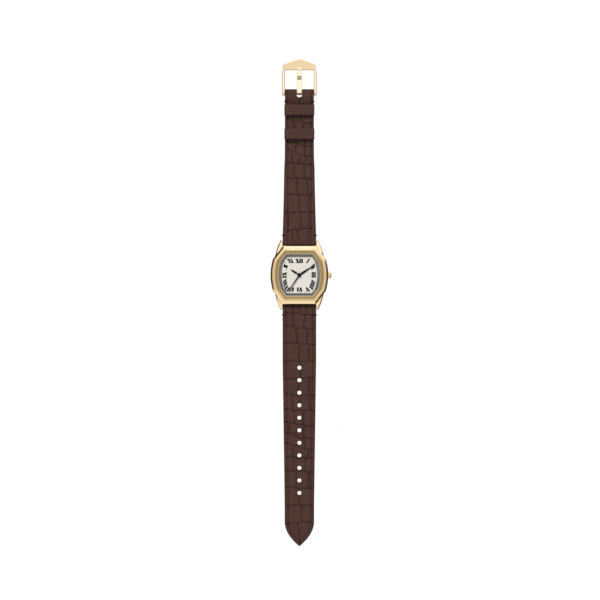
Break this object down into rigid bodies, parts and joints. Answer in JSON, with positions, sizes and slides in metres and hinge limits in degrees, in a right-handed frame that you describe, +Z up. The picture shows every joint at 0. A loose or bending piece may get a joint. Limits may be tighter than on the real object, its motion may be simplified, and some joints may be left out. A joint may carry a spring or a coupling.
{
  "type": "wristwatch",
  "caption": "Flat dress wristwatch: gold-tone faceted case with cream Roman dial and black hands, brown embossed leather strap with keepers and a pin buckle.",
  "frame": {"origin": "centre of the flat underside of the case back", "axes": "+Z up through the dial, +Y along the strap towards the buckle at 12 o'clock, +X towards the crown at 3 o'clock"},
  "size_m": [0.0289, 0.2317, 0.0069],
  "materials": {
    "gold": "polished gold plating over steel",
    "steel": "brushed",
    "movement_brass": "plain",
    "copper": "enamelled copper wire",
    "crystal": "polished",
    "dial": "cream lacquer",
    "chapter": "grey paint with light marks",
    "hands": "black",
    "leather": "brown, embossed in a scale pattern",
    "lining": "plain tan",
    "rubber": "black",
    "nylon": "pale",
    "movement_plastic": "black",
    "board": "green"
  },
  "bodies": {
    "case": {"mid_case": "gold", "bezel": "gold", "crystal": "crystal", "crystal_gasket": "nylon", "chapter_ring": "chapter", "dial": "dial", "case_back": "steel", "case_back_gasket": "rubber", "case_back_screw_1": "steel", "case_back_screw_2": "steel", "case_back_screw_3": "steel", "case_back_screw_4": "steel", "crown_tube": "steel", "movement_holder": "movement_plastic", "main_plate": "movement_brass", "train_bridge": "movement_brass", "bridge_screw_1": "steel", "bridge_screw_2": "steel", "battery": "steel", "battery_clamp": "steel", "circuit_board": "board", "control_chip": "movement_plastic", "quartz_can": "steel", "coil_core": "steel", "coil_winding": "copper", "stator": "steel", "lug_bar_12": "steel", "lug_bar_6": "steel", "lug_bar_spring_12": "steel", "lug_bar_spring_6": "steel"},
    "rotor": {"rotor": "steel"},
    "fifth_wheel": {"fifth_wheel": "movement_brass"},
    "second": {"second_wheel": "movement_brass", "second_hand": "hands"},
    "third_wheel": {"third_wheel": "movement_brass"},
    "minute": {"centre_wheel": "movement_brass", "minute_hand": "hands"},
    "minute_wheel": {"minute_wheel": "movement_brass"},
    "setting_wheel": {"setting_wheel": "movement_brass"},
    "hour": {"hour_wheel": "movement_brass", "hour_hand": "hands"},
    "setting_lever": {"setting_lever": "steel"},
    "crown": {"crown": "gold", "stem": "steel", "crown_gasket": "rubber"},
    "lug_bar_tip_12_left": {"lug_bar_tip_12_left": "steel"},
    "lug_bar_tip_12_right": {"lug_bar_tip_12_right": "steel"},
    "lug_bar_tip_6_left": {"lug_bar_tip_6_left": "steel"},
    "lug_bar_tip_6_right": {"lug_bar_tip_6_right": "steel"},
    "buckle_strap": {"buckle_strap_top": "leather", "buckle_strap_lining": "lining", "fixed_keeper": "leather"},
    "free_keeper": {"free_keeper": "leather"},
    "buckle": {"buckle_frame": "gold", "buckle_pin": "gold"},
    "tongue": {"tongue": "gold"},
    "hole_strap": {"hole_strap_top": "leather", "hole_strap_lining": "lining"}
  },
  "joints": [
    {"name": "second_hand_spin", "type": "hinge", "parent": "case", "child": "second", "pos_m": [0, 0, 0], "axis": [0, 0, -1], "continuous": true},
    {"name": "minute_hand_spin", "type": "hinge", "parent": "case", "child": "minute", "pos_m": [0, 0, 0], "axis": [0, 0, -1], "continuous": true},
    {"name": "hour_hand_spin", "type": "hinge", "parent": "case", "child": "hour", "pos_m": [0, 0, 0], "axis": [0, 0, -1], "continuous": true},
    {"name": "rotor_spin", "type": "hinge", "parent": "case", "child": "rotor", "pos_m": [0.00231, -0.00261, 0], "axis": [0, 0, -1], "continuous": true},
    {"name": "fifth_wheel_spin", "type": "hinge", "parent": "case", "child": "fifth_wheel", "pos_m": [0.0011, -0.00191, 0], "axis": [0, 0, -1], "continuous": true},
    {"name": "third_wheel_spin", "type": "hinge", "parent": "case", "child": "third_wheel", "pos_m": [0.00108, 0.00187, 0], "axis": [0, 0, -1], "continuous": true},
    {"name": "minute_wheel_spin", "type": "hinge", "parent": "case", "child": "minute_wheel", "pos_m": [0.00131, 0.00092, 0], "axis": [0, 0, -1], "continuous": true},
    {"name": "setting_wheel_spin", "type": "hinge", "parent": "case", "child": "setting_wheel", "pos_m": [0.0031, 0.00027, 0], "axis": [0, 0, -1], "continuous": true},
    {"name": "crown_pull", "type": "slide", "parent": "case", "child": "setting_lever", "axis": [1, 0, 0], "range_m": [0, 0.001]},
    {"name": "crown_turn", "type": "hinge", "parent": "setting_lever", "child": "crown", "pos_m": [0.01365, 0, 0.00303], "axis": [1, 0, 0], "continuous": true},
    {"name": "lug_bar_tip_12_left_press", "type": "slide", "parent": "case", "child": "lug_bar_tip_12_left", "axis": [1, 0, 0], "range_m": [0, 0.001], "stiffness_N_per_m": 0.5, "springref_m": -0.0005, "deforming": ["lug_bar_spring_12"]},
    {"name": "lug_bar_tip_12_right_press", "type": "slide", "parent": "case", "child": "lug_bar_tip_12_right", "axis": [-1, 0, 0], "range_m": [0, 0.001], "stiffness_N_per_m": 0.5, "springref_m": -0.0005, "deforming": ["lug_bar_spring_12"]},
    {"name": "lug_bar_tip_6_left_press", "type": "slide", "parent": "case", "child": "lug_bar_tip_6_left", "axis": [1, 0, 0], "range_m": [0, 0.001], "stiffness_N_per_m": 0.5, "springref_m": -0.0005, "deforming": ["lug_bar_spring_6"]},
    {"name": "lug_bar_tip_6_right_press", "type": "slide", "parent": "case", "child": "lug_bar_tip_6_right", "axis": [-1, 0, 0], "range_m": [0, 0.001], "stiffness_N_per_m": 0.5, "springref_m": -0.0005, "deforming": ["lug_bar_spring_6"]},
    {"name": "buckle_strap_swing", "type": "hinge", "parent": "case", "child": "buckle_strap", "pos_m": [0, 0.015, 0.0016], "axis": [1, 0, 0], "range_deg": [-85, 60]},
    {"name": "hole_strap_swing", "type": "hinge", "parent": "case", "child": "hole_strap", "pos_m": [0, -0.015, 0.0016], "axis": [-1, 0, 0], "range_deg": [-85, 60]},
    {"name": "free_keeper_slide", "type": "slide", "parent": "buckle_strap", "child": "free_keeper", "axis": [0, 1, 0], "range_m": [-0.008, 0.006]},
    {"name": "buckle_swing", "type": "hinge", "parent": "buckle_strap", "child": "buckle", "pos_m": [0, 0.0869, 0.00207], "axis": [1, 0, 0], "range_deg": [-80, 45]},
    {"name": "tongue_swing", "type": "hinge", "parent": "buckle", "child": "tongue", "pos_m": [0, 0.0869, 0.00207], "axis": [1, 0, 0], "range_deg": [0, 80]}
  ],
  "couplings": [
    {"joint": "fifth_wheel_spin", "follows": "second_hand_spin", "ratio": -5},
    {"joint": "rotor_spin", "follows": "second_hand_spin", "ratio": 30},
    {"joint": "third_wheel_spin", "follows": "second_hand_spin", "ratio": -0.125},
    {"joint": "minute_hand_spin", "follows": "second_hand_spin", "ratio": 0.016667},
    {"joint": "minute_wheel_spin", "follows": "second_hand_spin", "ratio": -0.0055556},
    {"joint": "hour_hand_spin", "follows": "second_hand_spin", "ratio": 0.0013889},
    {"joint": "setting_wheel_spin", "follows": "second_hand_spin", "ratio": 0.0095238}
  ]
}
